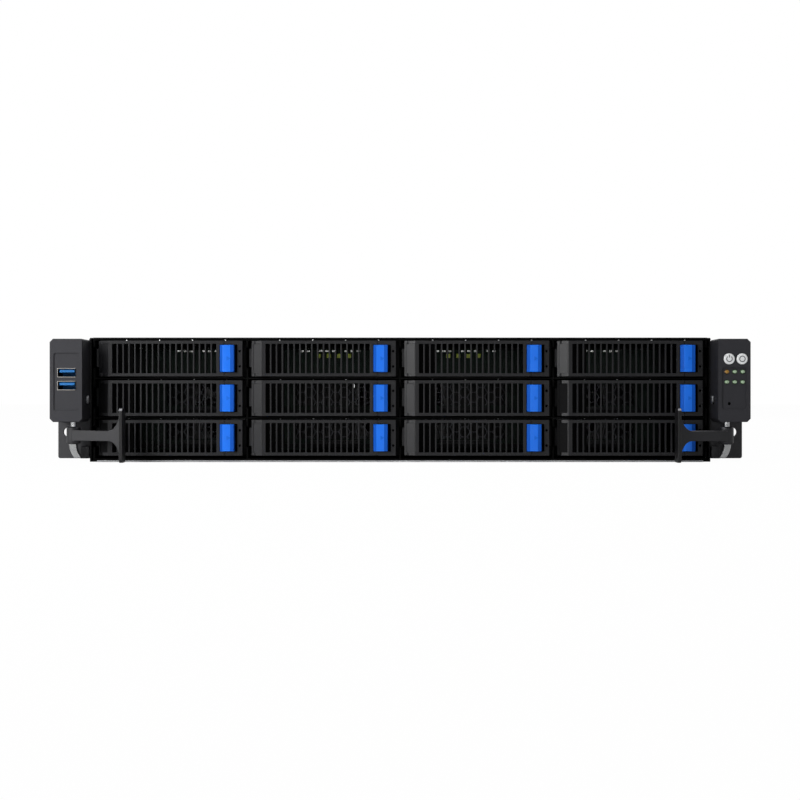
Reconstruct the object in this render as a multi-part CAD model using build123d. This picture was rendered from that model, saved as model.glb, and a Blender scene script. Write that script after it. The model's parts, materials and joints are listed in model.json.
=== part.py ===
from build123d import *
import os

os.makedirs("parts", exist_ok=True)

# Frame: +X is the viewer's right, +Y points to the rear, +Z is up. The pieces are drawn
# with Y = 0 on the front face of the rack flanges and Z = 0 under the chassis floor, and
# are moved to the middle of the server's length when they are written.

# Clearances
SLIDE_GAP = 0.3  # between parts that slide or turn past each other
PIN_GAP = 0.05  # radial, a shaft in its hole

# Drive bays: a grid of columns and rows, with a wall between columns and a shelf between rows
COLUMNS = 4
ROWS = 3
BAY_PITCH_X = 107.6
BAY_PITCH_Z = 27.8
BAY_WALL = 1.2
SHELF = 1.0
CAGE_FRONT_Y = -3.0
CAGE_LENGTH = 175.0
CAGE_FLOOR_Z = 1.3
ROW_CENTRE_Z = 17.1  # middle of the lowest tray front
ROW_HEAD = 13.8  # from the middle of the highest tray front to the roof
BLOCKED = ((1, 1), (1, COLUMNS), (0, 1), (0, COLUMNS))  # (row from the floor, column) behind the grips

# Chassis box round the cage
SHEET = 1.2
COVER_SHEET = 1.0
CAGE_SIDE_GAP = 2.0
CHASSIS_DEPTH = 730.0
LIP_WIDTH = 9.0
SPLIT_Y = 214.0  # where the fixed front roof ends and the sliding cover starts
COVER_GAP = 0.4
FLOOR_NOSE = 4.0  # floor in front of the flange plane
NOSE_INSET = 6.0  # each corner of the nose is cut back this far
CAGE_HALF = (COLUMNS * BAY_PITCH_X + BAY_WALL) / 2
INSIDE = CAGE_HALF + CAGE_SIDE_GAP
HALF_WIDTH = INSIDE + SHEET
ROOF_Z = ROW_CENTRE_Z + (ROWS - 1) * BAY_PITCH_Z + ROW_HEAD
CHASSIS_HEIGHT = ROOF_Z + COVER_SHEET
REAR_Y = CHASSIS_DEPTH

# Tray front, measured from its own left edge (u), front plane (v) and middle (w)
TRAY_FRONT_Y = -6.0
TRAY_OFFSET = 2.4  # from the bay's left wall to the tray front's left edge
TRAY_RIGHT_GAP = 2.5
TRAY_WIDTH = BAY_PITCH_X - BAY_WALL - TRAY_OFFSET - TRAY_RIGHT_GAP
TRAY_GAP_Z = 2.8  # between the fronts of two rows
TRAY_HEIGHT = BAY_PITCH_Z - TRAY_GAP_Z
GRILLE_THICK = 2.4
SLANT_WIDTH = 7.5
SLANT_DROP = 4.0
SLANT_BORDER = 1.2
SLANT_RECESS = 0.4
FIRST_SLOT_U = 10.2
RIB_COUNT = 18
RIB_WIDTH = 1.0
LAST_SLOT_MARGIN = 2.24
SLOT_BORDER = 2.15  # bar above and below the slots
CAM_REACH = 1.6
CAM_LOW, CAM_HIGH = -5.7, 6.9
CAM_FRONT, CAM_BACK = 4.2, 7.0

# Lever hinge
HINGE_U = 4.5
HINGE_V = 8.0
TRUNNION_R = 1.5
EAR_R = 2.8
EAR_TALL = 3.2
POST_R = 2.5

# Carrier: front frame, two side rails and a rear tie
CARRIER_SIDE = 1.0
CARRIER_LENGTH = 164.0
CARRIER_SIDE_DROP = 2.4
FRAME_V = 14.0
FRAME_DEPTH = 8.0
BLANK_WIDTH = 22.0
SOLE_WIDTH = 4.6
TIE_DEPTH = 4.0
TIE_HEIGHT = 3.0
BEZEL_DEPTH = 6.0
STRIP_WIDTH = 3.4
SEAM_FROM_RIGHT = 12.8  # where the lever ends and the bezel starts
LIGHT_HOLE_R = 0.9
LIGHT_UP, LIGHT_DOWN = 5.2, -5.5
LIGHT_EDGE = 1.8

# Latch
LATCH_FROM_RIGHT = 15.6
LATCH_WIDTH = 10.0
LATCH_MARGIN = 3.05  # tray front above and below the latch
LATCH_PROUD = 3.0
LATCH_FACET = 2.0
LATCH_TRAVEL = 1.9
LATCH_DEPTH = 5.6
TONGUE_WIDTH = 4.2
TONGUE_HALF = 4.0
TONGUE_END = 10.0

# Backplane and mesh wall
BOARD = 1.6
WINDOW_SIDE = 20.0
WINDOW_MARGIN = 2.0
CONNECTOR_WIDTH = 42.0
CONNECTOR_HEIGHT = 5.0
CONNECTOR_REACH = 6.0
MESH_BEHIND = 20.4  # from the backplane to the mesh wall
MESH_SHEET = 1.0
MESH_HEX = 14.0  # across flats
MESH_WEB = 3.0

# Rack ears
FLANGE_REACH = 22.3  # beyond the chassis side, to half of the 482.6 mm rack width
FLANGE_SHEET = 2.0
FLANGE_LOW = 2.5
FLANGE_DROP = 2.5  # below the top of the chassis
FLANGE_CORNER = 1.5
RACK_HOLE_IN = 8.75  # from the flange's outer edge, for the 465.1 mm spacing
RACK_HOLE_Z = 21.0
RACK_HOLE_R = 3.25
RACK_SLOT_LENGTH = 10.0
FOOT_LENGTH = 60.0
FOOT_SHEET = 1.5
FOOT_MARGIN = 3.0
EAR_LAP = 0.5
EAR_LOW_Z = 28.4
EAR_DROP = 1.7
EAR_DEPTH = 24.0
EAR_WALL = 1.6
EAR_CORNER = 2.3
EAR_SMALL_CORNER = 1.0
EAR_EDGE = 0.5
PANEL_FROM_IN = 2.9
PANEL_FROM_OUT = 2.8
PANEL_UP = 7.8
PANEL_DOWN = 9.8
PANEL_DEEP = 0.8
FLANGE_HALF = HALF_WIDTH + FLANGE_REACH
FLANGE_HIGH = CHASSIS_HEIGHT - FLANGE_DROP
RACK_HOLE_X = FLANGE_HALF - RACK_HOLE_IN
EAR_INNER_X = HALF_WIDTH - EAR_LAP
EAR_HIGH_Z = CHASSIS_HEIGHT - EAR_DROP
PANEL_IN_X = EAR_INNER_X + PANEL_FROM_IN
PANEL_OUT_X = FLANGE_HALF - PANEL_FROM_OUT
PANEL_LOW_Z = EAR_LOW_Z + PANEL_UP
PANEL_HIGH_Z = EAR_HIGH_Z - PANEL_DOWN

# Sockets in the left ear
USB_FROM_OUT = 11.7
USB_FROM_TOP = 23.5
USB_PITCH = 8.8
USB_WIDTH = 13.3
USB_HEIGHT = 6.4
USB_LENGTH = 15.0
USB_SHELL = 0.5
TONGUE_THICK = 1.8
USB_X = FLANGE_HALF - USB_FROM_OUT
USB_ZS = (EAR_HIGH_Z - USB_FROM_TOP, EAR_HIGH_Z - USB_FROM_TOP - USB_PITCH)

# Buttons and lights in the right ear
BUTTON_R = 3.8
BUTTON_TRAVEL = 1.2
BUTTON_LENGTH = 5.0
BUTTON_PROUD = 0.4
BUTTON_DROP = 13.9
LIGHT_R = 1.7
LIGHT_LENGTH = 3.6
LIGHT_PITCH_X = 5.45
LIGHT_PITCH_Z = 7.1
LIGHT_DROP = 22.7
RESET_R = 1.1
POWER_AT = (EAR_INNER_X + 8.0, EAR_HIGH_Z - BUTTON_DROP)
MARKER_AT = (FLANGE_HALF - 5.9, EAR_HIGH_Z - BUTTON_DROP)
LIGHT_XS = [EAR_INNER_X + 6.5 + n * LIGHT_PITCH_X for n in range(3)]
LIGHT_ZS = [EAR_HIGH_Z - LIGHT_DROP - n * LIGHT_PITCH_Z for n in range(2)]
RESET_AT = (EAR_INNER_X + 8.2, EAR_LOW_Z + 12.7)

# Rack handles: hub on a pin, arm, and an upright grip
PIVOT_OUT = 8.8  # from the chassis side
PIVOT_Y = -11.0
PIVOT_R = 2.0
HUB_R = 4.8
HUB_LOW = 12.9
HUB_HIGH = 25.0
ARM_LOW = 15.2
ARM_HIGH = 22.4
ARM_THICK = 3.5
GRIP_REACH = 36.5  # from the pin to the middle of the grip
GRIP_WIDTH = 2.4
GRIP_FRONT = -30.0
GRIP_BACK = -18.0
GRIP_LOW = 0.5
GRIP_HIGH = 38.0
FLARE_WIDTH = 8.4
GRIP_END_R = 2.5
HOOK_LOW = 3.4
HOOK_WIDTH = 4.6
HOOK_SHIFT = 3.6  # the hook's lower end turns inwards by this much
HOOK_DEPTH = 6.0
SPIGOT = 3.0
PIN_IN_EAR = 5.0
LUG_REACH = 3.5
LUG_HIGH = 11.0
LUG_GAP = 0.8
PIVOT_X = HALF_WIDTH + PIVOT_OUT
GRIP_X = PIVOT_X - GRIP_REACH

# Fans
FAN_COUNT = 3
FAN_PITCH = 140.0
FAN_HEADROOM = 5.3
FAN_Y = 232.0
FAN_DEPTH = 38.0
FAN_WALL = 2.0
FAN_CORNER = 4.0
BLADE_COUNT = 7
BLADE_GAP = 1.2
BLADE_THICK = 1.4
BLADE_CHORD = 24.0
BLADE_TURN = 52
FAN_HUB_R = 17.0
FAN_SHAFT_R = 1.5
STRUT = 3.0
MOTOR_PLATE = 4.0
FAN_SIZE = ROOF_Z - SHEET - FAN_HEADROOM
FAN_BORE_R = FAN_SIZE / 2 - FAN_WALL

# Power supplies, one over the other at the right
PSU_WIDTH = 54.5
PSU_LENGTH = 320.0
PSU_PROUD = 2.0
PSU_HEADROOM = 2.2
PSU_SHELF = 1.0
PSU_GRIP_REACH = 22.0
PSU_GRIP_R = 1.5
PSU_GRIP_BEND = 4.0
PSU_GRIP_IN = 10.0
PSU_GRIP_UP = 5.0
PSU_VENTS = 9
PSU_VENT_WIDTH = 13.0
PSU_VENT_HIGH = 1.6
INLET_WIDTH = 27.5
INLET_HEIGHT = 20.0
INLET_DEEP = 14.0
INLET_EDGE = 4.0
PSU_REAR_Y = REAR_Y + PSU_PROUD
PSU_RIGHT = INSIDE - SLIDE_GAP
PSU_LEFT = PSU_RIGHT - PSU_WIDTH
BAY_FLOOR = SHEET + SLIDE_GAP
PSU_HEIGHT = (ROOF_Z - SHEET - PSU_HEADROOM - BAY_FLOOR - PSU_SHELF - 2 * SLIDE_GAP) / 2
UPPER_FLOOR = BAY_FLOOR + PSU_HEIGHT + SLIDE_GAP + PSU_SHELF + SLIDE_GAP
BAY_WALL_X = PSU_LEFT - SLIDE_GAP
LENGTH_SHIFT = -(GRIP_FRONT + PSU_REAR_Y + PSU_GRIP_REACH) / 2

# Main board and what stands on it
BOARD_EDGE = 6.8  # from the chassis side to the board
BOARD_TO_BAY = 11.0
BOARD_FRONT_Y = 300.0
BOARD_REAR_GAP = 4.0
BOARD_Z = 8.0
STANDOFF_R = 3.0
STANDOFF_IN = 12.0
SINK_SIZE = 90.0
SINK_Y = 400.0
SINK_EDGE = 66.0  # from the board's left edge to the first sink
SINK_PITCH = 164.0
SINK_BASE = 6.0
SINK_HEADROOM = 14.5
FIN_COUNT = 15
FIN_THICK = 1.0
MODULE_LENGTH = 133.35
MODULE_SEEN = 27.25  # height above its socket
MODULE_THICK = 2.4
MODULE_PITCH = 9.0
MODULE_SOCKET_WIDTH = 6.4
MODULE_SOCKET_HIGH = 6.0
MODULE_SOCKET_END = 4.0
MODULES_PER_BANK = 4
BANK_GAP = 6.0
BOARD_LEFT = -INSIDE + BOARD_EDGE
BOARD_RIGHT = BAY_WALL_X - BOARD_TO_BAY
BOARD_REAR_Y = REAR_Y - BOARD_REAR_GAP
BOARD_TOP = BOARD_Z + BOARD

# Rear wall: window for the sockets with its shield, vents, and expansion slots
SHIELD_FROM_LEFT = 12.8
SHIELD_WIDTH = 158.8
SHIELD_LOW = 1.0  # over the board's underside
SHIELD_HIGH = 53.5
SHIELD_SHEET = 0.8
SLOT_COUNT = 7
SLOT_PITCH = 20.32
SLOT_FIRST = 58.0  # from the shield to the middle of the first slot
SLOT_WIDTH = 14.0
SLOT_LOW = 14.0
SLOT_DROP = 9.5
SLOT_COVER_WIDTH = 18.4
SLOT_COVER_LAP = 4.0
VENT_WIDTH = 5.0
VENT_PITCH = 7.5
VENT_ROWS = 3

# Slide rail studs on the chassis sides, and pan-head screws
STUD_FRONT_Y = 300.0
STUD_REAR_IN = 80.0  # from the rear of the chassis
STUD_R = 3.0
STUD_LENGTH = 2.6
STUD_HEAD = 1.0
SCREW_HEAD_R = 2.9
SCREW_HEAD = 1.8
EAR_SCREW_UP = 15.5
FOOT_SCREW_YS = (22.0, 46.0)
FOOT_SCREW_IN = 15.0
STUD_Z = CHASSIS_HEIGHT / 2
STUD_YS = (STUD_FRONT_Y, CHASSIS_DEPTH - STUD_REAR_IN)


def block(x0, x1, y0, y1, z0, z1):
    """A box between two corners."""
    size = Box(x1 - x0, y1 - y0, z1 - z0)
    return Pos((x0 + x1) / 2, (y0 + y1) / 2, (z0 + z1) / 2) * size


def post(x, y, z0, z1, radius):
    """A round bar standing along Z."""
    return Pos(x, y, (z0 + z1) / 2) * Cylinder(radius, z1 - z0)


def rod(x, z, y0, y1, radius):
    """A round bar lying along Y."""
    return Pos(x, (y0 + y1) / 2, z) * Rot(90, 0, 0) * Cylinder(radius, y1 - y0)


def peg(y, z, x0, x1, radius):
    """A round bar lying along X."""
    return Pos((x0 + x1) / 2, y, z) * Rot(0, 90, 0) * Cylinder(radius, abs(x1 - x0))


def plan(points, z0, z1):
    """An outline drawn from above, standing between two heights."""
    face = make_face(Polyline(*points, close=True))
    return Pos(0, 0, z0) * extrude(face, z1 - z0)


def hexagon(x, y, z, flats, depth):
    """A six-sided bar lying along Y, to cut a vent."""
    face = RegularPolygon(flats / 2, 6, major_radius=False)
    return Pos(x, y, z) * (Plane.XZ * extrude(face, depth, both=True))


def save(name, *solids):
    """Write one node, moved to the middle of the server's length."""
    found = []
    for shape in solids:
        found += shape.solids()
    moved = [Pos(0, LENGTH_SHIFT, 0) * solid for solid in found]
    export_step(Compound(children=moved), f"parts/{name}.step")


def mirrored(shape):
    """The same piece on the other side of the server."""
    return mirror(shape, about=Plane.YZ)


def row_z(row):
    return ROW_CENTRE_Z + row * BAY_PITCH_Z


def bay_left_x(column):
    return -COLUMNS * BAY_PITCH_X / 2 + (column - 1) * BAY_PITCH_X + BAY_WALL / 2


def tray_left_x(column):
    return bay_left_x(column) + TRAY_OFFSET


# Drive tray parts, drawn at the tray's own left edge, front plane and middle

RAIL_LEFT_U = SLIDE_GAP - TRAY_OFFSET
RAIL_RIGHT_U = TRAY_WIDTH + TRAY_RIGHT_GAP - SLIDE_GAP
HALF_TRAY = TRAY_HEIGHT / 2
CARRIER_HALF = (BAY_PITCH_Z - SHELF) / 2 - 1.0
GRILLE_END_U = TRAY_WIDTH - LATCH_FROM_RIGHT - SLIDE_GAP
SEAM_U = TRAY_WIDTH - SEAM_FROM_RIGHT
LATCH_U = TRAY_WIDTH - LATCH_FROM_RIGHT
LATCH_HALF = HALF_TRAY - LATCH_MARGIN
POCKET_HALF = LATCH_HALF + SLIDE_GAP
BEZEL_U = SEAM_U + SLIDE_GAP
RIB_PITCH = (GRILLE_END_U - LAST_SLOT_MARGIN - FIRST_SLOT_U + RIB_WIDTH) / RIB_COUNT
EAR_IN = HALF_TRAY - EAR_TALL  # inner face of the lever's ears, from the middle


def lever():
    """The slotted front of a tray: slanted bar, ribs, notch round the latch and hinge ears."""
    rear = SLANT_DROP + GRILLE_THICK * 1.08
    outline = [
        (0, SLANT_DROP),
        (SLANT_WIDTH, 0),
        (GRILLE_END_U, 0),
        (GRILLE_END_U, GRILLE_THICK),
        (SLANT_WIDTH + 0.6, GRILLE_THICK),
        (0, rear),
    ]
    body = plan(outline, -HALF_TRAY, HALF_TRAY)
    for side in (-1, 1):
        low, high = sorted((side * POCKET_HALF, side * HALF_TRAY))
        body += block(GRILLE_END_U, SEAM_U, 0, GRILLE_THICK, low, high)
        low, high = sorted((side * EAR_IN, side * HALF_TRAY))
        ear = block(HINGE_U - EAR_R, HINGE_U + EAR_R, GRILLE_THICK, HINGE_V, low, high)
        body += ear + post(HINGE_U, HINGE_V, low, high, EAR_R)
    half_slot = HALF_TRAY - SLOT_BORDER
    slots = []
    for rib in range(RIB_COUNT):
        left = FIRST_SLOT_U + rib * RIB_PITCH
        right = left + RIB_PITCH - RIB_WIDTH
        slots.append(block(left, right, -1, GRILLE_THICK + 1, -half_slot, half_slot))
    # the slanted bar is sunk a little inside its border
    lean = SLANT_DROP / SLANT_WIDTH
    near, far = SLANT_BORDER, SLANT_WIDTH - SLANT_BORDER / 2
    sunk = [
        (near, SLANT_DROP - near * lean - 2),
        (far, SLANT_DROP - far * lean - 2),
        (far, SLANT_DROP - far * lean + SLANT_RECESS),
        (near, SLANT_DROP - near * lean + SLANT_RECESS),
    ]
    slots.append(plan(sunk, -half_slot, half_slot))
    body -= slots
    body += block(-CAM_REACH, 1, CAM_FRONT, CAM_BACK, CAM_LOW, CAM_HIGH)
    return body - post(HINGE_U, HINGE_V, -HALF_TRAY - 1, HALF_TRAY + 1, TRUNNION_R + PIN_GAP)


def side_rail(inner, outer):
    """One folded rail of a tray: an upright side and a narrow sole under the drive."""
    near, far = sorted((inner, outer))
    bottom = -CARRIER_HALF
    top = CARRIER_HALF - CARRIER_SIDE_DROP
    start, end = FRAME_V + FRAME_DEPTH, CARRIER_LENGTH
    side = block(near, far, start, end, bottom, top)
    reach = inner + (SOLE_WIDTH if inner > outer else -SOLE_WIDTH)
    near, far = sorted((inner, reach))
    return side + block(near, far, start, end - TIE_DEPTH, bottom, bottom + CARRIER_SIDE)


def carrier():
    """The sliding frame of a tray: front frame with hinge post and bezel, rails and rear tie."""
    bottom, top = -CARRIER_HALF, CARRIER_HALF
    inner_left = RAIL_LEFT_U + CARRIER_SIDE
    inner_right = RAIL_RIGHT_U - CARRIER_SIDE
    frame_end = FRAME_V + FRAME_DEPTH
    front = block(RAIL_LEFT_U, RAIL_RIGHT_U, FRAME_V, frame_end, bottom, bottom + CARRIER_SIDE)
    front += block(RAIL_LEFT_U, RAIL_RIGHT_U, FRAME_V, frame_end, top - CARRIER_SIDE, top)
    front += block(RAIL_LEFT_U, inner_left, FRAME_V, frame_end, bottom, top)
    front += block(inner_right, RAIL_RIGHT_U, BEZEL_DEPTH, frame_end, bottom, top)
    front += block(RAIL_LEFT_U, BLANK_WIDTH, FRAME_V, FRAME_V + CARRIER_SIDE, bottom, top)
    # hinge post with its trunnions
    half = EAR_IN - SLIDE_GAP
    front += post(HINGE_U, HINGE_V, -half, half, POST_R)
    front += block(HINGE_U - POST_R + 0.6, HINGE_U + POST_R, HINGE_V, FRAME_V, -half, half)
    front += post(HINGE_U, HINGE_V, -CARRIER_HALF, CARRIER_HALF, TRUNNION_R)
    # bezel on the right, open to the latch
    strip_u = TRAY_WIDTH - STRIP_WIDTH
    bezel = block(BEZEL_U, TRAY_WIDTH, 0, BEZEL_DEPTH, -HALF_TRAY, HALF_TRAY)
    bezel -= block(BEZEL_U - 1, strip_u, -1, BEZEL_DEPTH, -POCKET_HALF, POCKET_HALF)
    front += bezel
    front += block(LATCH_U, RAIL_RIGHT_U, BEZEL_DEPTH, BEZEL_DEPTH + CARRIER_SIDE, bottom, top)
    tongue_left = LATCH_U + LATCH_FACET - SLIDE_GAP
    tongue_right = LATCH_U + LATCH_FACET + TONGUE_WIDTH + LATCH_TRAVEL + SLIDE_GAP
    tongue_half = TONGUE_HALF + SLIDE_GAP
    front -= block(tongue_left, tongue_right, BEZEL_DEPTH - 1, BEZEL_DEPTH + 2, -tongue_half, tongue_half)
    light_u = TRAY_WIDTH - LIGHT_EDGE
    front -= [rod(light_u, z, -1, BEZEL_DEPTH - 1.5, LIGHT_HOLE_R) for z in (LIGHT_UP, LIGHT_DOWN)]
    tie_from = CARRIER_LENGTH - TIE_DEPTH
    tie = block(inner_left, inner_right, tie_from, CARRIER_LENGTH, bottom, bottom + TIE_HEIGHT)
    return [front, side_rail(inner_left, RAIL_LEFT_U), side_rail(inner_right, RAIL_RIGHT_U), tie]


def latch():
    """The release button: faceted front, and a tongue through the bezel's rear wall."""
    right = LATCH_U + LATCH_WIDTH
    outline = [
        (LATCH_U, -LATCH_PROUD + LATCH_FACET * 1.2),
        (LATCH_U + LATCH_FACET, -LATCH_PROUD),
        (right, -LATCH_PROUD),
        (right, LATCH_DEPTH),
        (LATCH_U, LATCH_DEPTH),
    ]
    body = plan(outline, -LATCH_HALF, LATCH_HALF)
    left = LATCH_U + LATCH_FACET
    return body + block(left, left + TONGUE_WIDTH, LATCH_DEPTH, TONGUE_END, -TONGUE_HALF, TONGUE_HALF)


lever_shape = lever()
carrier_shapes = carrier()
latch_shape = latch()
for row in range(ROWS):
    for column in range(1, COLUMNS + 1):
        spot = Pos(tray_left_x(column), TRAY_FRONT_Y, row_z(row))
        label = f"row{ROWS - row}_col{column}"
        pieces = [spot * shape for shape in carrier_shapes]
        if (row, column) in BLOCKED:
            save(f"carrier_{label}", *pieces, spot * lever_shape)
        else:
            save(f"carrier_{label}", *pieces)
            save(f"lever_{label}", spot * lever_shape)
        save(f"latch_{label}", spot * latch_shape)

# Drive cage: bottom and top plates, upright walls, and shelves between the walls

CAGE_END_Y = CAGE_FRONT_Y + CAGE_LENGTH
CAGE_LOW = CAGE_FLOOR_Z + SHELF
CAGE_HIGH = ROOF_Z - SHELF
cage = [
    block(-CAGE_HALF, CAGE_HALF, CAGE_FRONT_Y, CAGE_END_Y, CAGE_FLOOR_Z, CAGE_LOW),
    block(-CAGE_HALF, CAGE_HALF, CAGE_FRONT_Y, CAGE_END_Y, CAGE_HIGH, ROOF_Z),
]
for column in range(1, COLUMNS + 2):
    wall_right = bay_left_x(column)
    wall = block(wall_right - BAY_WALL, wall_right, CAGE_FRONT_Y, CAGE_END_Y, CAGE_LOW, CAGE_HIGH)
    # each lever's cam swings through an open notch in the wall
    notch_end = TRAY_FRONT_Y + FRAME_V
    left, right = wall_right - BAY_WALL - 1, wall_right + 1
    notches = []
    for row in range(ROWS):
        low, high = row_z(row) + CAM_LOW - 1, row_z(row) + CAM_HIGH + 1
        notches.append(block(left, right, CAGE_FRONT_Y - 1, notch_end, low, high))
    cage.append(wall - notches)
for row in range(1, ROWS):
    middle = row_z(row) - BAY_PITCH_Z / 2
    for column in range(1, COLUMNS + 1):
        left = bay_left_x(column)
        right = left + BAY_PITCH_X - BAY_WALL
        cage.append(block(left, right, CAGE_FRONT_Y, CAGE_END_Y, middle - SHELF / 2, middle + SHELF / 2))
save("drive_cage", *cage)

# Backplane with windows behind the lower rows, and one connector for each drive

board_end = CAGE_END_Y + BOARD
backplane = block(-CAGE_HALF, CAGE_HALF, CAGE_END_Y, board_end, CAGE_FLOOR_Z, CAGE_HIGH)
windows = []
connectors = []
for row in range(ROWS):
    for column in range(1, COLUMNS + 1):
        left = bay_left_x(column)
        right = left + BAY_PITCH_X - BAY_WALL
        foot = row_z(row) - CARRIER_HALF + 0.5
        if row < ROWS - 1:
            sill = foot + CONNECTOR_HEIGHT + 1
            head = row_z(row) + BAY_PITCH_Z / 2 - WINDOW_MARGIN
            near, far = CAGE_END_Y - 1, board_end + 1
            windows.append(block(left + WINDOW_SIDE, right - WINDOW_SIDE, near, far, sill, head))
        middle = (left + right) / 2
        wide = CONNECTOR_WIDTH / 2
        near = CAGE_END_Y - CONNECTOR_REACH
        connectors.append(block(middle - wide, middle + wide, near, CAGE_END_Y, foot, foot + CONNECTOR_HEIGHT))
save("backplane", backplane - windows, *connectors)

# Mesh wall behind the backplane

MESH_Y = CAGE_END_Y + MESH_BEHIND
mesh = block(-INSIDE, INSIDE, MESH_Y, MESH_Y + MESH_SHEET, SHEET, ROOF_Z)
hex_pitch_z = MESH_HEX + MESH_WEB
hex_pitch_x = hex_pitch_z * 0.866
hex_columns = int((2 * INSIDE - MESH_WEB) / hex_pitch_x)
hexes = []
for n in range(hex_columns):
    x = (n - (hex_columns - 1) / 2) * hex_pitch_x
    z = SHEET + MESH_WEB + MESH_HEX / 2 + (hex_pitch_z / 2 if n % 2 else 0)
    while z + MESH_HEX / 2 + MESH_WEB / 2 < ROOF_Z:
        hexes.append(hexagon(x, MESH_Y, z, MESH_HEX, 2 * MESH_SHEET))
        z += hex_pitch_z
save("mesh_wall", mesh - hexes)

# Chassis: a folded tub with lips, the fixed front roof, and the wall and shelf of the supply bay

tub = block(-HALF_WIDTH, HALF_WIDTH, 0, REAR_Y, 0, SHEET)
nose = HALF_WIDTH - NOSE_INSET
tub += block(-nose, nose, -FLOOR_NOSE, 0, 0, SHEET)
for side in (-1, 1):
    near, far = sorted((side * INSIDE, side * HALF_WIDTH))
    tub += block(near, far, 0, REAR_Y, 0, ROOF_Z)
    near, far = sorted((side * (HALF_WIDTH - LIP_WIDTH), side * HALF_WIDTH))
    tub += block(near, far, MESH_Y + 5, REAR_Y - SHEET, ROOF_Z - SHEET, ROOF_Z)
front_roof = block(-HALF_WIDTH, HALF_WIDTH, 0, SPLIT_Y, ROOF_Z, CHASSIS_HEIGHT)
front_roof += block(-CAGE_HALF, CAGE_HALF, CAGE_FRONT_Y - 1, 0, ROOF_Z, CHASSIS_HEIGHT)
bay_from = REAR_Y - PSU_LENGTH
shelf_z = BAY_FLOOR + PSU_HEIGHT + SLIDE_GAP
supply_bay = block(BAY_WALL_X - SHEET, BAY_WALL_X, bay_from, REAR_Y - SHEET, SHEET, ROOF_Z - SHEET)
supply_bay += block(BAY_WALL_X, INSIDE, bay_from, REAR_Y - SHEET, shelf_z, shelf_z + PSU_SHELF)
save("chassis", tub, front_roof, supply_bay)

# Rear panel: openings for the supplies, vents, the socket shield and the blank slot covers

rear = block(-INSIDE, INSIDE, REAR_Y - SHEET, REAR_Y, SHEET, ROOF_Z)
before, behind = REAR_Y - 2 * SHEET, REAR_Y + 1
cuts = []
for floor in (BAY_FLOOR, UPPER_FLOOR):
    top = floor + PSU_HEIGHT + SLIDE_GAP
    cuts.append(block(BAY_WALL_X, INSIDE + 1, before, behind, floor - SLIDE_GAP, top))
shield_left = -INSIDE + SHIELD_FROM_LEFT
shield_right = shield_left + SHIELD_WIDTH
shield_low = BOARD_Z + SHIELD_LOW
cuts.append(block(shield_left, shield_right, before, behind, shield_low, SHIELD_HIGH))
slot_high = ROOF_Z - SLOT_DROP
slot_xs = [shield_right + SLOT_FIRST + n * SLOT_PITCH for n in range(SLOT_COUNT)]
slot_xs = [x for x in slot_xs if x + SLOT_COVER_WIDTH / 2 < BAY_WALL_X - 2 * SHEET]
half = SLOT_WIDTH / 2
cuts += [block(x - half, x + half, before, behind, SLOT_LOW, slot_high) for x in slot_xs]
vents_across = int(SHIELD_WIDTH / VENT_PITCH)
for step in range(VENT_ROWS):
    z = SHIELD_HIGH + VENT_PITCH * (1 + 0.866 * step)
    for n in range(vents_across - step % 2):
        x = shield_left + VENT_PITCH * (n + 0.5 + 0.5 * (step % 2))
        cuts.append(hexagon(x, REAR_Y, z, VENT_WIDTH, 2 * SHEET))
rear -= cuts
half = SLOT_COVER_WIDTH / 2
low, high = SLOT_LOW - SLOT_COVER_LAP, slot_high + SLOT_COVER_LAP
covers = [block(x - half, x + half, before, REAR_Y - SHEET, low, high) for x in slot_xs]

# Rear sockets of the main board: offset from the shield's left edge, width, height, and depth
# of the hollow for a plug

SOCKET_DEEP = 16.0
SOCKET_WALL = 1.0
SOCKETS = (
    (18.0, 16.0, 14.0, 11.0),
    (40.0, 13.5, 15.0, 0.6),
    (62.0, 16.0, 14.0, 11.0),
    (81.0, 16.0, 14.0, 11.0),
    (108.0, 31.0, 12.0, 0.6),
    (141.0, 17.0, 8.0, 0.6),
)


def rear_socket(offset, wide, high, hollow, grow=0.0):
    """A socket at the rear edge of the board, open to the rear, or its outer box grown a little."""
    x = shield_left + offset
    left, right = x - wide / 2 - grow, x + wide / 2 + grow
    top = BOARD_TOP + high + grow
    body = block(left, right, REAR_Y - SOCKET_DEEP, REAR_Y, BOARD_TOP - grow, top)
    if grow:
        return body
    low = BOARD_TOP + SOCKET_WALL
    return body - block(left + SOCKET_WALL, right - SOCKET_WALL, REAR_Y - hollow, behind, low, top - SOCKET_WALL)


shield = block(shield_left, shield_right, REAR_Y - SHIELD_SHEET, REAR_Y, shield_low, SHIELD_HIGH)
shield -= [rear_socket(*socket, grow=SLIDE_GAP) for socket in SOCKETS]
save("rear_panel", rear, shield, *covers)

# Sliding cover over the rear, with two sunk thumb pads

cover_front = SPLIT_Y + COVER_GAP
top_cover = block(-HALF_WIDTH, HALF_WIDTH, cover_front, REAR_Y, ROOF_Z, CHASSIS_HEIGHT)
top_cover -= [Pos(x, cover_front + 40, CHASSIS_HEIGHT) * Cylinder(14, COVER_SHEET) for x in (-120, 120)]
save("top_cover", top_cover)

# Rack brackets: flange, foot along the chassis side, and the lug under the handle


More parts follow.
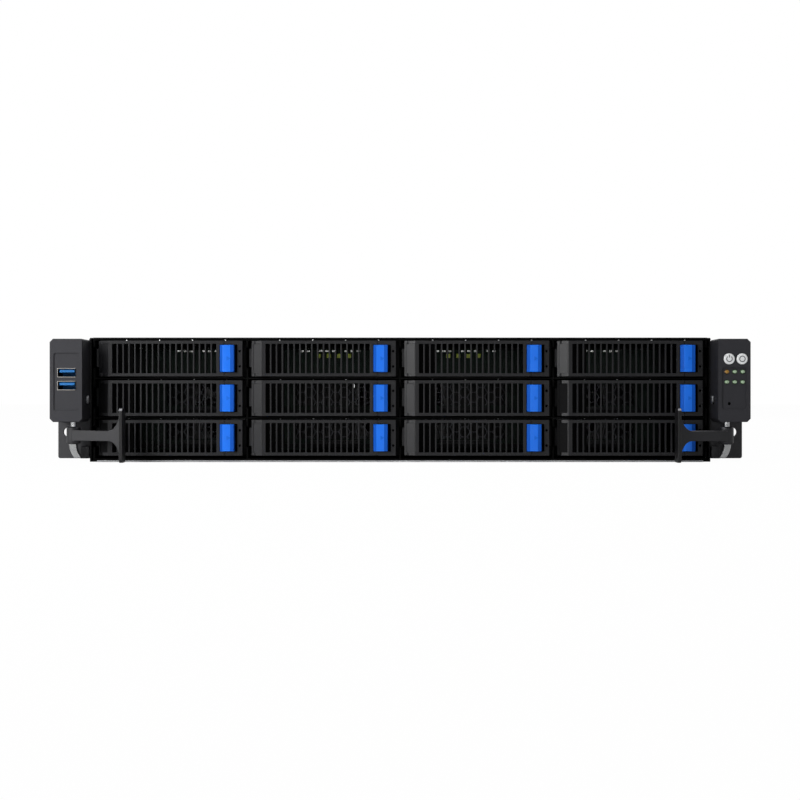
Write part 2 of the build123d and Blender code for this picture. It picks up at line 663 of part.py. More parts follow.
def rack_bracket():
    """The right-hand bracket."""
    flange = block(HALF_WIDTH, FLANGE_HALF, 0, FLANGE_SHEET, FLANGE_LOW, FLANGE_HIGH)
    outer = flange.edges().filter_by(Axis.Y).sort_by(Axis.X)[-2:]
    flange = fillet(outer, FLANGE_CORNER)
    foot_x = HALF_WIDTH + FOOT_SHEET
    low, high = FLANGE_LOW + FOOT_MARGIN, FLANGE_HIGH - FOOT_MARGIN
    foot = block(HALF_WIDTH, foot_x, FLANGE_SHEET, FOOT_LENGTH, low, high)
    lug = block(HALF_WIDTH, PIVOT_X - HOOK_WIDTH / 2 - LUG_GAP, -LUG_REACH, 0, FLANGE_LOW, LUG_HIGH)
    hole = Plane.XZ * extrude(SlotOverall(RACK_SLOT_LENGTH, 2 * RACK_HOLE_R), 2 * FLANGE_SHEET, both=True)
    return flange + foot + lug - Pos(RACK_HOLE_X, 0, RACK_HOLE_Z) * hole


bracket = rack_bracket()
save("rack_brackets", mirrored(bracket), bracket)

# Ear covers: hollow moulded boxes in front of the flanges


def ear_box(inset):
    """The right-hand ear cover's outline as a solid, smaller all round by the inset."""
    body = block(
        EAR_INNER_X + inset,
        FLANGE_HALF - inset,
        -EAR_DEPTH + inset,
        0,
        EAR_LOW_Z + inset,
        EAR_HIGH_Z - inset,
    )
    uprights = body.edges().filter_by(Axis.Y).sort_by(Axis.X)
    outer, inner = uprights[-2:], uprights[:2].sort_by(Axis.Z)
    body = chamfer(outer, EAR_CORNER)
    for spot, size in ((inner[0], EAR_CORNER), (inner[1], EAR_SMALL_CORNER)):
        near = body.edges().filter_by(Axis.Y).sort_by_distance(spot.center())[0]
        body = chamfer(near, size)
    return body


def ear_shell():
    """The right-hand ear cover without its openings."""
    outer = ear_box(0)
    outer = chamfer(outer.faces().sort_by(Axis.Y)[0].edges(), EAR_EDGE)
    inner = Pos(0, PANEL_DEEP, 0) * ear_box(EAR_WALL)
    inner += block(
        EAR_INNER_X + EAR_WALL + EAR_CORNER,
        FLANGE_HALF - EAR_WALL - EAR_CORNER,
        -EAR_WALL,
        1,
        EAR_LOW_Z + EAR_WALL,
        EAR_HIGH_Z - EAR_WALL,
    )
    boss = post(PIVOT_X, PIVOT_Y, EAR_LOW_Z, EAR_LOW_Z + PIN_IN_EAR + 1, PIVOT_R + 2)
    bore = post(PIVOT_X, PIVOT_Y, EAR_LOW_Z - 1, EAR_LOW_Z + PIN_IN_EAR, PIVOT_R + PIN_GAP)
    return outer - inner + boss - bore


def panel_recess(low, high, corner):
    """A shallow round-cornered recess in the cover's face."""
    tool = block(PANEL_IN_X, PANEL_OUT_X, -EAR_DEPTH - 1, -EAR_DEPTH + PANEL_DEEP, low, high)
    return fillet(tool.edges().filter_by(Axis.Y), corner)


ear = ear_shell()
left_cover = mirrored(ear - panel_recess(PANEL_LOW_Z, PANEL_HIGH_Z, 1.5))
usb_parts = []
for z in USB_ZS:
    wide = USB_WIDTH / 2
    tall = USB_HEIGHT / 2
    front_y = -EAR_DEPTH + PANEL_DEEP
    left_cover -= block(-USB_X - wide, -USB_X + wide, -EAR_DEPTH - 1, -EAR_DEPTH + 5, z - tall, z + tall)
    shell = block(-USB_X - wide, -USB_X + wide, front_y, front_y + USB_LENGTH, z - tall, z + tall)
    hollow = block(
        -USB_X - wide + USB_SHELL,
        -USB_X + wide - USB_SHELL,
        front_y - 1,
        front_y + USB_LENGTH - 1,
        z - tall + USB_SHELL,
        z + tall - USB_SHELL,
    )
    blade = block(
        -USB_X - wide + 1.5,
        -USB_X + wide - 1.5,
        front_y + 1,
        front_y + USB_LENGTH - 1,
        z + tall - USB_SHELL - 0.6 - TONGUE_THICK,
        z + tall - USB_SHELL - 0.6,
    )
    usb_parts.append(shell - hollow + blade)
save("ear_cover_left", left_cover)
save("usb_sockets", *usb_parts)

face_y = -EAR_DEPTH
light_back = face_y + PANEL_DEEP + LIGHT_LENGTH
board_front = face_y + BUTTON_LENGTH + BUTTON_TRAVEL - BUTTON_PROUD
right_cover = ear - panel_recess(PANEL_LOW_Z + 0.9, LIGHT_ZS[0] + 3.1, 2.0)
openings = [rod(x, z, face_y - 1, face_y + 5, BUTTON_R + SLIDE_GAP) for x, z in (POWER_AT, MARKER_AT)]
openings.append(rod(*RESET_AT, face_y - 1, face_y + 5, RESET_R))
lamps = []
for x in LIGHT_XS:
    for z in LIGHT_ZS:
        openings.append(rod(x, z, face_y - 1, face_y + 5, LIGHT_R))
        lamp = rod(x, z, face_y + PANEL_DEEP, light_back, LIGHT_R)
        lamps.append(lamp + rod(x, z, light_back, board_front, LIGHT_R / 2))
lamp_board = block(
    EAR_INNER_X + EAR_WALL,
    FLANGE_HALF - EAR_WALL,
    board_front,
    board_front + BOARD,
    RESET_AT[1] - 4,
    EAR_HIGH_Z - EAR_WALL - EAR_CORNER,
)
save("ear_cover_right", right_cover - openings)
save("status_lights", *lamps, lamp_board)


def push_button(x, z):
    """A round cap, proud of the cover by a little, with its switch behind it."""
    cap = rod(x, z, face_y - BUTTON_PROUD, board_front - BUTTON_TRAVEL - SLIDE_GAP, BUTTON_R)
    return chamfer(cap.faces().sort_by(Axis.Y)[0].edges(), 0.4)


save("power_button", push_button(*POWER_AT))
save("marker_button", push_button(*MARKER_AT))

# Rack handles: hub, arm and grip in one casting, and the steel hook under the hub


def handle():
    """The right-hand handle, folded in front of the trays."""
    grip_in = GRIP_X - GRIP_WIDTH / 2
    grip_out = GRIP_X + GRIP_WIDTH / 2
    flare_x = grip_out + FLARE_WIDTH
    rise = GRIP_HIGH - ARM_HIGH
    fall = ARM_LOW - GRIP_LOW
    outline = [
        EllipticalCenterArc((flare_x, GRIP_HIGH), FLARE_WIDTH, rise, 180, arc_size=90),
        Line((flare_x, ARM_HIGH), (PIVOT_X, ARM_HIGH)),
        Line((PIVOT_X, ARM_HIGH), (PIVOT_X, ARM_LOW)),
        Line((PIVOT_X, ARM_LOW), (flare_x, ARM_LOW)),
        EllipticalCenterArc((flare_x, GRIP_LOW), FLARE_WIDTH, fall, 90, arc_size=90),
        Line((grip_out, GRIP_LOW), (grip_in, GRIP_LOW)),
        Line((grip_in, GRIP_LOW), (grip_in, GRIP_HIGH)),
        Line((grip_in, GRIP_HIGH), (grip_out, GRIP_HIGH)),
    ]
    seen = Plane.XZ * extrude(make_face(outline), -2 * GRIP_FRONT, both=True)
    middle = (GRIP_FRONT + GRIP_BACK) / 2
    thick = ARM_THICK / 2
    arm_front = PIVOT_Y - HUB_R
    above = plan(
        [
            (grip_in, GRIP_FRONT),
            (grip_out, GRIP_FRONT),
            (grip_out, middle - thick),
            (PIVOT_X, arm_front),
            (PIVOT_X, arm_front + ARM_THICK),
            (grip_out, middle + thick),
            (grip_out, GRIP_BACK),
            (grip_in, GRIP_BACK),
        ],
        0,
        GRIP_HIGH + 1,
    )
    body = seen & above
    ends = body.edges().filter_by(Axis.X).filter_by(lambda e: e.center().X < grip_out)
    body = fillet(ends, GRIP_END_R)
    hub = post(PIVOT_X, PIVOT_Y, HUB_LOW, HUB_HIGH, HUB_R)
    hub = chamfer(hub.edges().filter_by(GeomType.CIRCLE), 0.8)
    return body + hub - post(PIVOT_X, PIVOT_Y, 0, GRIP_HIGH, PIVOT_R + PIN_GAP)


def hook():
    """The right-hand hook: a band that curves inwards, with a spigot up into the hub."""
    left, right = PIVOT_X - HOOK_WIDTH / 2, PIVOT_X + HOOK_WIDTH / 2
    outline = [
        Line((left, HUB_LOW), (right, HUB_LOW)),
        TangentArc((right, HUB_LOW), (right - HOOK_SHIFT, HOOK_LOW), tangent=(0, -1)),
        Line((right - HOOK_SHIFT, HOOK_LOW), (left - HOOK_SHIFT, HOOK_LOW)),
        TangentArc((left, HUB_LOW), (left - HOOK_SHIFT, HOOK_LOW), tangent=(0, -1)),
    ]
    band = Plane.XZ * extrude(make_face(outline), HOOK_DEPTH / 2, both=True)
    return Pos(0, PIVOT_Y, 0) * band + post(PIVOT_X, PIVOT_Y, HUB_LOW, HUB_LOW + SPIGOT, PIVOT_R)


handle_shape = handle()
hook_shape = hook()
save("handle_right", handle_shape)
save("handle_left", mirrored(handle_shape))
save("hook_right", hook_shape)
save("hook_left", mirrored(hook_shape))
pin = post(PIVOT_X, PIVOT_Y, HUB_LOW + SPIGOT + SLIDE_GAP, EAR_LOW_Z + PIN_IN_EAR, PIVOT_R)
save("handle_pins", mirrored(pin), pin)

# Screws: bracket screws with pan heads, ear screws, and the slide rail studs


def bracket_screw(y, z):
    head_x = HALF_WIDTH + FOOT_SHEET
    return peg(y, z, head_x, head_x + SCREW_HEAD, SCREW_HEAD_R)


def ear_screw():
    """A pan head on the ear's inner wall, facing the trays."""
    z = EAR_LOW_Z + EAR_SCREW_UP
    return peg(-EAR_DEPTH / 2, z, EAR_INNER_X - SCREW_HEAD, EAR_INNER_X, SCREW_HEAD_R)


def rail_stud(y):
    neck = peg(y, STUD_Z, HALF_WIDTH, HALF_WIDTH + STUD_LENGTH, STUD_R * 0.7)
    head_x = HALF_WIDTH + STUD_LENGTH
    return neck + peg(y, STUD_Z, head_x - STUD_HEAD, head_x, STUD_R)


screw_zs = (FLANGE_LOW + FOOT_SCREW_IN, FLANGE_HIGH - FOOT_SCREW_IN)
fasteners = [bracket_screw(y, z) for y in FOOT_SCREW_YS for z in screw_zs]
fasteners.append(ear_screw())
fasteners += [rail_stud(y) for y in STUD_YS]
save("screws_and_studs", *[mirrored(one) for one in fasteners], *fasteners)

# Fans: square frames with a motor plate, and a rotor in each

fan_z = SHEET + FAN_SIZE / 2
fan_rear = FAN_Y + FAN_DEPTH
plate_y = fan_rear - MOTOR_PLATE
rotor_front, rotor_rear = FAN_Y + 3, plate_y - 1
half = FAN_SIZE / 2


def fan_frame():
    """One frame about the fan's own middle line."""
    box = block(-half, half, FAN_Y, fan_rear, -half, half)
    box = fillet(box.edges().filter_by(Axis.Y), FAN_CORNER)
    box -= rod(0, 0, FAN_Y - 1, fan_rear + 1, FAN_BORE_R)
    box += rod(0, 0, plate_y, fan_rear, FAN_HUB_R)
    box += block(-STRUT / 2, STRUT / 2, plate_y, fan_rear, 1 - half, half - 1)
    box += block(1 - half, half - 1, plate_y, fan_rear, -STRUT / 2, STRUT / 2)
    return box - rod(0, 0, plate_y - 1, fan_rear - 1, FAN_SHAFT_R + PIN_GAP)


def fan_rotor():
    """Hub, tilted blades and the shaft that runs in the frame's motor plate."""
    reach = FAN_BORE_R - BLADE_GAP
    rotor = rod(0, 0, rotor_front, rotor_rear, FAN_HUB_R)
    limit = Rot(90, 0, 0) * Cylinder(reach, BLADE_CHORD - 2)
    blade = Pos(0, 0, reach / 2) * Rot(0, 0, BLADE_TURN) * Box(BLADE_THICK, BLADE_CHORD, reach)
    blade = blade & limit
    middle = (rotor_front + rotor_rear) / 2
    rotor += [Pos(0, middle, 0) * Rot(0, n * 360 / BLADE_COUNT, 0) * blade for n in range(BLADE_COUNT)]
    return rotor + rod(0, 0, rotor_rear, fan_rear - 1.3, FAN_SHAFT_R)


frame_shape = fan_frame()
rotor_shape = fan_rotor()
fan_xs = [(n - (FAN_COUNT - 1) / 2) * FAN_PITCH for n in range(FAN_COUNT)]
save("fan_frames", *[Pos(x, 0, fan_z) * frame_shape for x in fan_xs])
for number, x in enumerate(fan_xs, 1):
    save(f"fan_rotor_{number}", Pos(x, 0, fan_z) * rotor_shape)

# Main board on its standoffs, with sockets, heat sinks and memory modules

board = block(BOARD_LEFT, BOARD_RIGHT, BOARD_FRONT_Y, BOARD_REAR_Y, BOARD_Z, BOARD_TOP)
stand_xs = (BOARD_LEFT + STANDOFF_IN, (BOARD_LEFT + BOARD_RIGHT) / 2, BOARD_RIGHT - STANDOFF_IN)
stand_ys = (BOARD_FRONT_Y + STANDOFF_IN, (BOARD_FRONT_Y + BOARD_REAR_Y) / 2, BOARD_REAR_Y - 2 * STANDOFF_IN)
for x in stand_xs:
    for y in stand_ys:
        board += post(x, y, SHEET, BOARD_Z, STANDOFF_R)
sink_lefts = [BOARD_LEFT + SINK_EDGE + n * SINK_PITCH for n in range(2)]
bank_span = (MODULES_PER_BANK - 1) * MODULE_PITCH
banks = []
for left in sink_lefts:
    banks += [left - BANK_GAP - bank_span, left + SINK_SIZE + BANK_GAP]
module_xs = [left + n * MODULE_PITCH for left in banks for n in range(MODULES_PER_BANK)]
bank_y = SINK_Y - MODULE_LENGTH / 2
module_low = BOARD_TOP + MODULE_SOCKET_HIGH
socket_half = MODULE_SOCKET_WIDTH / 2
near, far = bank_y - MODULE_SOCKET_END, bank_y + MODULE_LENGTH + MODULE_SOCKET_END
sockets = [block(x - socket_half, x + socket_half, near, far, BOARD_TOP, module_low) for x in module_xs]
sockets += [rear_socket(*socket) for socket in SOCKETS]
save("main_board", board, *sockets)

half = MODULE_THICK / 2
far = bank_y + MODULE_LENGTH
high = module_low + MODULE_SEEN
save("memory_modules", *[block(x - half, x + half, bank_y, far, module_low, high) for x in module_xs])

sinks = []
near, far = SINK_Y - SINK_SIZE / 2, SINK_Y + SINK_SIZE / 2
fin_low, fin_high = BOARD_TOP + SINK_BASE, ROOF_Z - SINK_HEADROOM
for left in sink_lefts:
    sink = block(left, left + SINK_SIZE, near, far, BOARD_TOP, fin_low)
    fins = []
    for n in range(FIN_COUNT):
        fin_x = left + n * (SINK_SIZE - FIN_THICK) / (FIN_COUNT - 1)
        fins.append(block(fin_x, fin_x + FIN_THICK, near, far, fin_low, fin_high))
    sinks.append(sink + fins)
save("heat_sinks", *sinks)

# Power supplies: two drawers at the rear, each with inlet, vents and a bent wire grip


def power_supply(floor):
    """One supply standing on the given height."""
    top = floor + PSU_HEIGHT
    body = block(PSU_LEFT, PSU_RIGHT, PSU_REAR_Y - PSU_LENGTH, PSU_REAR_Y, floor, top)
    inlet_right = PSU_RIGHT - INLET_EDGE
    middle = floor + PSU_HEIGHT / 2
    cuts = [
        block(
            inlet_right - INLET_WIDTH,
            inlet_right,
            PSU_REAR_Y - INLET_DEEP,
            PSU_REAR_Y + 1,
            middle - INLET_HEIGHT / 2,
            middle + INLET_HEIGHT / 2,
        )
    ]
    grip_x = PSU_LEFT + PSU_GRIP_IN
    pitch = (PSU_HEIGHT - 2 * PSU_GRIP_UP) / (PSU_VENTS - 1)
    vent_left = grip_x - PSU_VENT_WIDTH / 2
    for n in range(1, PSU_VENTS - 1):
        z = floor + PSU_GRIP_UP + n * pitch - PSU_VENT_HIGH / 2
        cuts.append(block(vent_left, vent_left + PSU_VENT_WIDTH, PSU_REAR_Y - 3, behind + PSU_PROUD, z, z + PSU_VENT_HIGH))
    body -= cuts
    reach = PSU_REAR_Y + PSU_GRIP_REACH - PSU_GRIP_R
    low, high = floor + PSU_GRIP_UP, top - PSU_GRIP_UP
    route = FilletPolyline(
        (grip_x, PSU_REAR_Y - 1, low),
        (grip_x, reach, low),
        (grip_x, reach, high),
        (grip_x, PSU_REAR_Y - 1, high),
        radius=PSU_GRIP_BEND,
    )
    start = Plane(origin=(grip_x, PSU_REAR_Y - 1, low), z_dir=(0, 1, 0))
    return body + sweep(start * Circle(PSU_GRIP_R), path=route)


save("power_supply_lower", power_supply(BAY_FLOOR))
save("power_supply_upper", power_supply(UPPER_FLOOR))
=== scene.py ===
import bpy
import bmesh
import json
from math import radians, pi, cos
from mathutils import Matrix, Vector

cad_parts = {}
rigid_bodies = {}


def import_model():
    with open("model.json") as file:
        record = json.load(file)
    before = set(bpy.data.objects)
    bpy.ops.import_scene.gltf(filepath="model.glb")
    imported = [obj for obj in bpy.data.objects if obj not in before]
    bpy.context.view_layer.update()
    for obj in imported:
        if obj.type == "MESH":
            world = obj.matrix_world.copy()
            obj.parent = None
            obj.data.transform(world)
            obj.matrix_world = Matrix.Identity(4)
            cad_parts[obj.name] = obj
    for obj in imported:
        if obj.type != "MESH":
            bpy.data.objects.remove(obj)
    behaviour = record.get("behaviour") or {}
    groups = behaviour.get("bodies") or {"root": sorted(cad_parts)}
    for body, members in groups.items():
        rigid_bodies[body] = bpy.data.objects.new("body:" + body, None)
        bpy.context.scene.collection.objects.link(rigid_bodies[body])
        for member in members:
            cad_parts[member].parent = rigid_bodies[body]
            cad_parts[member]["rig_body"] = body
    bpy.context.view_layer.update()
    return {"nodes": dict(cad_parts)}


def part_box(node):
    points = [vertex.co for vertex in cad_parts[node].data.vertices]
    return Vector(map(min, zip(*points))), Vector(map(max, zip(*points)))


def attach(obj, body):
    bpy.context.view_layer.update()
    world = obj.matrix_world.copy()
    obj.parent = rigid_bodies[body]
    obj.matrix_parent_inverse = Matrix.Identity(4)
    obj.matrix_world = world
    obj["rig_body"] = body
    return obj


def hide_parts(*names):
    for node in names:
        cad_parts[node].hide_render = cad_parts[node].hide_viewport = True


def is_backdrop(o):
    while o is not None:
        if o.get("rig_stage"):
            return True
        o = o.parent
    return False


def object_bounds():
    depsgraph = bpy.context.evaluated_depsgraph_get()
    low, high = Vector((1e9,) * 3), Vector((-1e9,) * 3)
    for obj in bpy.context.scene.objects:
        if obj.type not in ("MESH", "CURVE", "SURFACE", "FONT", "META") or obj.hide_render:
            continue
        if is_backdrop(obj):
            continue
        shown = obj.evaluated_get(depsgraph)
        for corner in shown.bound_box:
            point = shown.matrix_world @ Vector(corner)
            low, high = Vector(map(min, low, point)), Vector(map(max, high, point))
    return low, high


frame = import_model()

# Camera: level with the middle of the chassis, about a metre in front, as in a catalogue shot.
# The lens and distance give the photograph's size and perspective of the ears and tray gaps.
tray_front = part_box("lever_row1_col2")[0].y
LENS = 60.96
EYE_DISTANCE = 0.950
EYE_HEIGHT = 0.0436
EYE_SIDE = -0.0001
camera_data = bpy.data.cameras.new("camera")
camera_data.lens = LENS
camera_data.sensor_width = 36
camera_data.clip_start = 0.01
camera = bpy.data.objects.new("camera", camera_data)
camera.location = (EYE_SIDE, tray_front - EYE_DISTANCE, EYE_HEIGHT)
camera.rotation_euler = (radians(90), 0, 0)
bpy.context.scene.collection.objects.link(camera)
bpy.context.scene.camera = camera
bpy.context.scene.view_settings.view_transform = "Standard"


def colour(code):
    """An sRGB hex colour as linear red, green, blue and alpha."""
    parts = [int(code[n : n + 2], 16) / 255 for n in (1, 3, 5)]
    return [c / 12.92 if c <= 0.04045 else ((c + 0.055) / 1.055) ** 2.4 for c in parts] + [1.0]


def add(tree, kind, settings=None, links=None):
    """One node in a tree, with its settings and what its inputs take."""
    made = tree.nodes.new(kind)
    for key, value in (settings or {}).items():
        if isinstance(key, str) and hasattr(made, key):
            setattr(made, key, value)
        else:
            made.inputs[key].default_value = value
    for key, source in (links or {}).items():
        tree.links.new(source, made.inputs[key])
    return made


# Studio: a pale sweep that shows white, and a surround that lights the object at a low level.
# In gloss the surround is white too, but dim behind the camera, where the room is dark.
WHITE = "#FFFFFF"
FLOOR_SIZE = 12.0
SURROUND_LIGHT = 0.10
ROOM_GLOSS = 0.15
ROOM_EDGE = -0.35  # how far round from the camera's side the dark room reaches
world = bpy.data.worlds.new("surround")
bpy.context.scene.world = world
world.use_nodes = True
air = world.node_tree
air.nodes.clear()
rays = add(air, "ShaderNodeLightPath")
seen = add(air, "ShaderNodeMath", {"operation": "MAXIMUM"},
           {0: rays.outputs["Is Camera Ray"], 1: rays.outputs["Is Transmission Ray"]})
toward = add(air, "ShaderNodeTexCoord")
split = add(air, "ShaderNodeSeparateXYZ", links={0: toward.outputs["Generated"]})
room = add(air, "ShaderNodeMapRange",
           {"From Min": -1.0, "From Max": ROOM_EDGE, "To Min": ROOM_GLOSS, "To Max": 1.0},
           {"Value": split.outputs["Y"]})
gloss = add(air, "ShaderNodeMapRange", {"To Min": SURROUND_LIGHT},
            {"Value": rays.outputs["Is Glossy Ray"], "To Max": room.outputs["Result"]})
level = add(air, "ShaderNodeMapRange", {"To Max": 1.0},
            {"Value": seen.outputs[0], "To Min": gloss.outputs["Result"]})
glow = add(air, "ShaderNodeBackground", {"Color": colour(WHITE)}, {"Strength": level.outputs["Result"]})
add(air, "ShaderNodeOutputWorld", links={"Surface": glow.outputs[0]})

bm = bmesh.new()
bmesh.ops.create_grid(bm, x_segments=1, y_segments=1, size=FLOOR_SIZE)
floor_mesh = bpy.data.meshes.new("floor")
bm.to_mesh(floor_mesh)
bm.free()
floor_piece = bpy.data.objects.new("floor", floor_mesh)
bpy.context.scene.collection.objects.link(floor_piece)
floor_piece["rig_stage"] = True
PAPER_SHOWN = 0.985  # share of the floor that is plain white to the camera; the rest takes the shadow
paper = bpy.data.materials.new("white_paper_sweep")
paper.use_nodes = True
paper.node_tree.nodes.clear()
rays = add(paper.node_tree, "ShaderNodeLightPath")
share = add(paper.node_tree, "ShaderNodeMath", {"operation": "MULTIPLY", 1: PAPER_SHOWN},
            {0: rays.outputs["Is Camera Ray"]})
matt = add(paper.node_tree, "ShaderNodeBsdfDiffuse", {"Color": colour("#F4F4F4")})
bright = add(paper.node_tree, "ShaderNodeEmission", {"Color": colour(WHITE)})
mixed = add(paper.node_tree, "ShaderNodeMixShader",
            links={0: share.outputs[0], 1: matt.outputs[0], 2: bright.outputs[0]})
add(paper.node_tree, "ShaderNodeOutputMaterial", links={"Surface": mixed.outputs[0]})
floor_mesh.materials.append(paper)

# Lamps: a key from the upper left, weak ones in front and above, and one behind for the edges.
# Three thin strips inside, one a row, light the backplane and mesh wall that show through the trays.
# Each has a name, place, point that it faces, width, height and power in watts.
for name, place, aim, wide, high, power in (
    ("key", (-0.75, -1.02, 0.38), (-0.12, -0.37, 0.05), 0.40, 0.60, 8.6),
    ("front", (0.03, -1.70, 0.09), (0.00, -0.37, 0.04), 0.15, 0.15, 0.5),
    ("top", (-0.10, -0.55, 1.15), (0.00, -0.20, 0.05), 1.20, 0.70, 5.0),
    ("top_row", (0.0, -0.225, 0.0705), (0.0, -0.190, 0.0745), 0.42, 0.004, 0.032),
    ("middle_row", (0.0, -0.215, 0.0437), (0.0, -0.170, 0.0437), 0.42, 0.004, 0.02),
    ("bottom_row", (0.0, -0.215, 0.0159), (0.0, -0.170, 0.0159), 0.42, 0.004, 0.02),
    ("back", (0.55, 1.50, 1.20), (0.0, 0.1, 0.04), 1.2, 1.0, 14.0),
):
    lamp = bpy.data.lights.new(name, "AREA")
    lamp.shape = "RECTANGLE"
    lamp.size = wide
    lamp.size_y = high
    lamp.energy = power
    stand = bpy.data.objects.new(name, lamp)
    stand.location = place
    stand.rotation_euler = (Vector(place) - Vector(aim)).to_track_quat("Z", "Y").to_euler()
    bpy.context.scene.collection.objects.link(stand)

# Chassis: a folded tub with a fixed front roof, 1.2 mm steel sheet with black powder coat.
# The coat leaves a faint orange peel; the sheared front edge of the floor shows bare steel.
MM = 0.001
PEEL_GRAIN = 0.7  # mm, drawn coarser than the real 0.2 mm so that it shows
FOLD_ROUND = 0.3
EDGE_ANGLE = 12  # degrees from which an edge stays sharp


def coat(name, code, roughness, grain, depth, gloss=0.5, spread=0.06):
    """A coated or moulded surface: even colour, slight gloss changes and a fine grain."""
    made = bpy.data.materials.new(name)
    made.use_nodes = True
    tree = made.node_tree
    tree.nodes.clear()
    place = add(tree, "ShaderNodeTexCoord")
    cloud = add(tree, "ShaderNodeTexNoise", {"Scale": 38.0, "Detail": 4.0},
                {"Vector": place.outputs["Object"]})
    rough = add(tree, "ShaderNodeMapRange", {"To Min": roughness - spread, "To Max": roughness + spread},
                {"Value": cloud.outputs["Fac"]})
    dark = colour(code)
    light = [c * 1.2 for c in dark[:3]] + [1.0]
    tint = add(tree, "ShaderNodeMixRGB", {"name": "tint", "Color1": dark, "Color2": light},
               {"Fac": cloud.outputs["Fac"]})
    pits = add(tree, "ShaderNodeTexNoise", {"Scale": 1000 / grain, "Detail": 2.0},
               {"Vector": place.outputs["Object"]})
    bump = add(tree, "ShaderNodeBump", {"Strength": depth, "Distance": 0.0002},
               {"Height": pits.outputs["Fac"]})
    shell = add(tree, "ShaderNodeBsdfPrincipled", {"Specular IOR Level": gloss},
                {"Base Color": tint.outputs[0], "Roughness": rough.outputs["Result"],
                 "Normal": bump.outputs["Normal"]})
    add(tree, "ShaderNodeOutputMaterial", links={"Surface": shell.outputs[0]})
    return made


def metal(name, code, roughness, grain, depth):
    """A bare or plated metal with a fine grain."""
    made = coat(name, code, roughness, grain, depth)
    made.node_tree.nodes["Principled BSDF"].inputs["Metallic"].default_value = 1.0
    return made


def put(name, bm, materials, body, stands_for=(), angle=EDGE_ANGLE):
    """Make a shape a piece of the server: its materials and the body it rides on."""
    mesh = bpy.data.meshes.new(name)
    bm.to_mesh(mesh)
    bm.free()
    if "custom_normal" in mesh.attributes:
        mesh.attributes.remove(mesh.attributes["custom_normal"])
    for material in materials:
        mesh.materials.append(material)
    mesh.shade_smooth()
    mesh.set_sharp_from_angle(angle=radians(angle))
    made = bpy.data.objects.new(name, mesh)
    bpy.context.scene.collection.objects.link(made)
    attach(made, body)
    if stands_for:
        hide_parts(*stands_for)


def finished(node, materials, rounding, kind=None, segments=2, cut=None, clamp=True):
    """A frame node with its edges broken by a rounding in mm; kind says which material a face has.

    cut is the x of a seam along which faces are split, so that a finish can end there.
    """
    source = frame["nodes"][node]
    bm = bmesh.new()
    bm.from_mesh(source.data)
    bmesh.ops.remove_doubles(bm, verts=bm.verts, dist=1e-6)
    bmesh.ops.dissolve_limit(bm, angle_limit=radians(0.5), verts=bm.verts, edges=bm.edges)
    sharp = [edge for edge in bm.edges if edge.is_manifold and edge.calc_face_angle() > radians(40)]
    bmesh.ops.bevel(bm, geom=sharp, offset=rounding * MM, offset_type="OFFSET", affect="EDGES",
                    segments=segments, profile=0.5, material=-1, clamp_overlap=clamp)
    if cut is not None:
        bmesh.ops.bisect_plane(bm, geom=bm.verts[:] + bm.edges[:] + bm.faces[:], plane_co=(cut, 0, 0),
                               plane_no=(1, 0, 0))
    bm.normal_update()
    for face in bm.faces:
        face.material_index = kind(face) if kind else 0
    put(f"{node}_finished", bm, materials, source["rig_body"], (node,))


# near black with a soft sheen, no clear reflections
powder_coat = coat("black_powder_coat", "#060607", 0.5, PEEL_GRAIN, 0.25, 0.2)
# a bright, slightly torn line
bare_edge = metal("sheared_steel_edge", "#B4B5B7", 0.32, 0.4, 0.1)
chassis_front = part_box("chassis")[0].y
SHEET = 0.0012
NOSE_DEPTH = 0.002


def sheared(face):
    """0 the coated sheet, 1 the bare front edge of the floor."""
    middle = face.calc_center_median()
    return int(middle.y < chassis_front + NOSE_DEPTH and middle.z < SHEET + MM)


finished("chassis", [powder_coat, bare_edge], FOLD_ROUND, sheared)

# Drive cage: walls, shelves and plates of black coated sheet, spot welded into a grid of bays.
# Under each shelf, four pressed dimples a bay keep the trays off it; they are coloured bright steel as
# painted glints.
DIMPLES_PER_BAY = 4
DIMPLE_PITCH = 0.0232
DIMPLE_ASIDE = 0.0039  # to the right of the bay's middle
DIMPLE_R = 0.0007
DIMPLE_HIGH = 0.0006
DIMPLE_IN = 0.006  # behind the cage's front edges
SHELF = 0.001
# dead matt, the darkest surface of the front
cage_coat = coat("dead_matt_black_coat", "#030303", 0.75, PEEL_GRAIN, 0.25, 0.08)
finished("drive_cage", [cage_coat], 0.2)
# small bright steel dots, coloured bright as painted glints
glint_steel = metal("bright_steel_painted_glint", "#D8D9DA", 0.3, 0.4, 0.05)
cage_low, cage_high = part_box("drive_cage")
row_mids = [sum(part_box(f"latch_row{row}_col1"), Vector()).z / 2 for row in (1, 2, 3)]
bay_mids = [sum(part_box(f"carrier_row1_col{column}"), Vector()).x / 2 for column in (1, 2, 3, 4)]
row_pitch = row_mids[0] - row_mids[1]
undersides = [cage_high.z - SHELF] + [mid + row_pitch / 2 - SHELF / 2 for mid in row_mids[1:]]
bm = bmesh.new()
for number, underside in enumerate(undersides):
    y = cage_low.y if number == 0 else cage_low.y + DIMPLE_IN
    for middle in bay_mids:
        for n in range(DIMPLES_PER_BAY):
            x = middle + DIMPLE_ASIDE + (n - (DIMPLES_PER_BAY - 1) / 2) * DIMPLE_PITCH
            place = Matrix.Translation((x, y, underside))
            bmesh.ops.create_uvsphere(bm, u_segments=12, v_segments=6, radius=1.0,
                                      matrix=place @ Matrix.Diagonal((DIMPLE_R, DIMPLE_R, DIMPLE_HIGH, 1)))
put("glide_dimples", bm, [glint_steel], "server")

# Backplane: a green glass-epoxy board across the cage's end, with a black connector per drive.
# Small white chip parts and a row of yellow-green ones stand along its top edge.
TRACE_PITCH = 2.2  # mm, drawn wider than the real 0.5 mm so that the traces show


